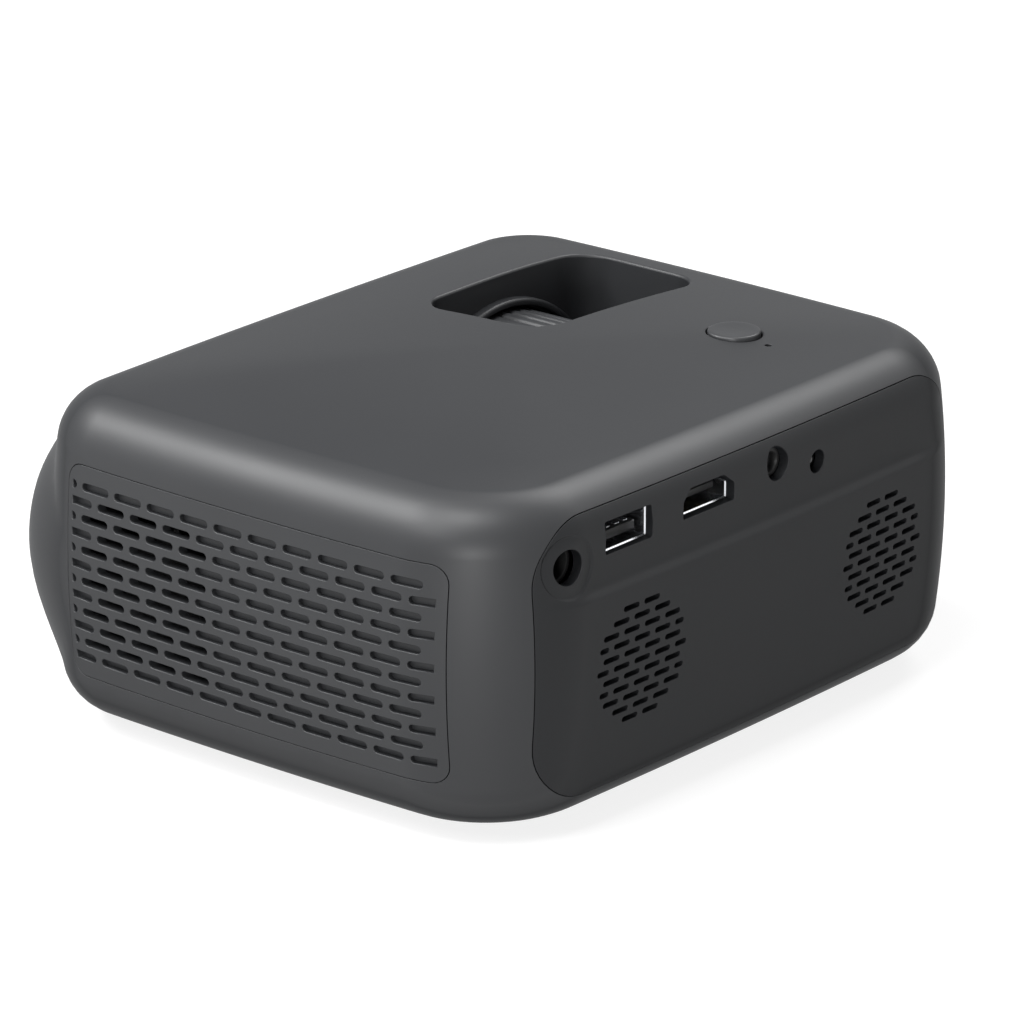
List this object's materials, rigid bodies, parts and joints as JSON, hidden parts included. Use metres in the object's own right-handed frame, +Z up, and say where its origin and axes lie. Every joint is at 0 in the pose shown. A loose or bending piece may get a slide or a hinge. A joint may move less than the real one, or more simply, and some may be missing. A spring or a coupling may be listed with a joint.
{
  "type": "portable projector",
  "caption": "Portable projector with a ribbed focus ring in a top finger well, side vents, a rear socket strip, rear speakers and a round power button.",
  "frame": {"origin": "centre of the box round the whole object, at the height of the surface that it stands on", "axes": "+X to the projector's own left, where the open side vent is; +Y to its rear, where the sockets are, so the lens looks along -Y; +Z up"},
  "size_m": [0.154, 0.136, 0.0699],
  "materials": {
    "case_plastic": "fine matte texture, dark grey",
    "panel_plastic": "fine matte texture, darker grey",
    "black_plastic": "moulded black",
    "gloss_black": "gloss black",
    "white_plastic": "moulded off-white",
    "red_sleeve": "insulated lead",
    "ribbon_film": "amber flexible film",
    "circuit_board": "green solder mask",
    "rubber": "soft black rubber",
    "filter_foam": "open black foam",
    "speaker_paper": "pressed black paper",
    "steel": "plain bright steel",
    "socket_metal": "nickel plated",
    "aluminium": "extruded, plain",
    "brass": "machined",
    "mirror_glass": "front silvered",
    "clear_glass": "clear, coated"
  },
  "bodies": {
    "case": {"main_housing": "case_plastic", "bottom_cover": "case_plastic", "front_cover": "gloss_black", "rear_cover": "panel_plastic", "left_vent_grille": "case_plastic", "right_vent_grille": "case_plastic", "dust_filter": "filter_foam", "tripod_insert": "brass", "rubber_foot_1": "rubber", "rubber_foot_2": "rubber", "rubber_foot_3": "rubber", "rubber_foot_4": "rubber", "cover_screw_1": "steel", "cover_screw_2": "steel", "cover_screw_3": "steel", "cover_screw_4": "steel", "lens_bezel": "black_plastic", "lens_mount": "black_plastic", "ring_retainer": "steel", "engine_box": "black_plastic", "engine_lid": "black_plastic", "fold_mirror": "mirror_glass", "field_fresnel": "clear_glass", "image_panel": "clear_glass", "collimator_fresnel": "clear_glass", "condenser_lens": "clear_glass", "lamp_board": "aluminium", "heat_sink": "aluminium", "fan_frame": "black_plastic", "main_board": "circuit_board", "board_screw_1": "steel", "board_screw_2": "steel", "power_board": "circuit_board", "data_socket_shell": "socket_metal", "data_socket_tongue": "white_plastic", "video_socket_shell": "socket_metal", "video_socket_tongue": "black_plastic", "audio_socket": "black_plastic", "power_socket": "black_plastic", "remote_receiver": "gloss_black", "switch_body": "black_plastic", "indicator_light_pipe": "clear_glass", "left_speaker_basket": "steel", "left_speaker_cone": "speaker_paper", "right_speaker_basket": "steel", "right_speaker_cone": "speaker_paper", "fan_lead": "black_plastic", "lamp_lead": "red_sleeve", "panel_ribbon": "ribbon_film"},
    "focus_ring": {"focus_ring": "panel_plastic"},
    "lens_barrel": {"lens_barrel": "black_plastic", "cam_pin": "steel", "front_lens": "clear_glass", "middle_lens": "clear_glass", "rear_lens": "clear_glass", "lens_spacer": "black_plastic", "lens_clamp_ring": "black_plastic"},
    "power_button": {"power_button": "case_plastic", "switch_plunger": "white_plastic"},
    "fan_rotor": {"fan_rotor": "black_plastic"}
  },
  "joints": [
    {"name": "focus_turn", "type": "hinge", "parent": "case", "child": "focus_ring", "pos_m": [-0.0343, 0, 0.0341], "axis": [0, 1, 0], "range_deg": [-40, 40]},
    {"name": "lens_slide", "type": "slide", "parent": "focus_ring", "child": "lens_barrel", "axis": [0, -1, 0], "range_m": [-0.003, 0.003]},
    {"name": "power_press", "type": "slide", "parent": "case", "child": "power_button", "axis": [0, 0, -1], "range_m": [0, 0.0005], "stiffness_N_per_m": 1500, "springref_m": -0.0004},
    {"name": "fan_spin", "type": "hinge", "parent": "case", "child": "fan_rotor", "pos_m": [0.066, -0.0214, 0.0341], "axis": [1, 0, 0], "continuous": true}
  ],
  "couplings": [
    {"joint": "lens_slide", "follows": "focus_turn", "m_per_rad": 0.004296}
  ]
}
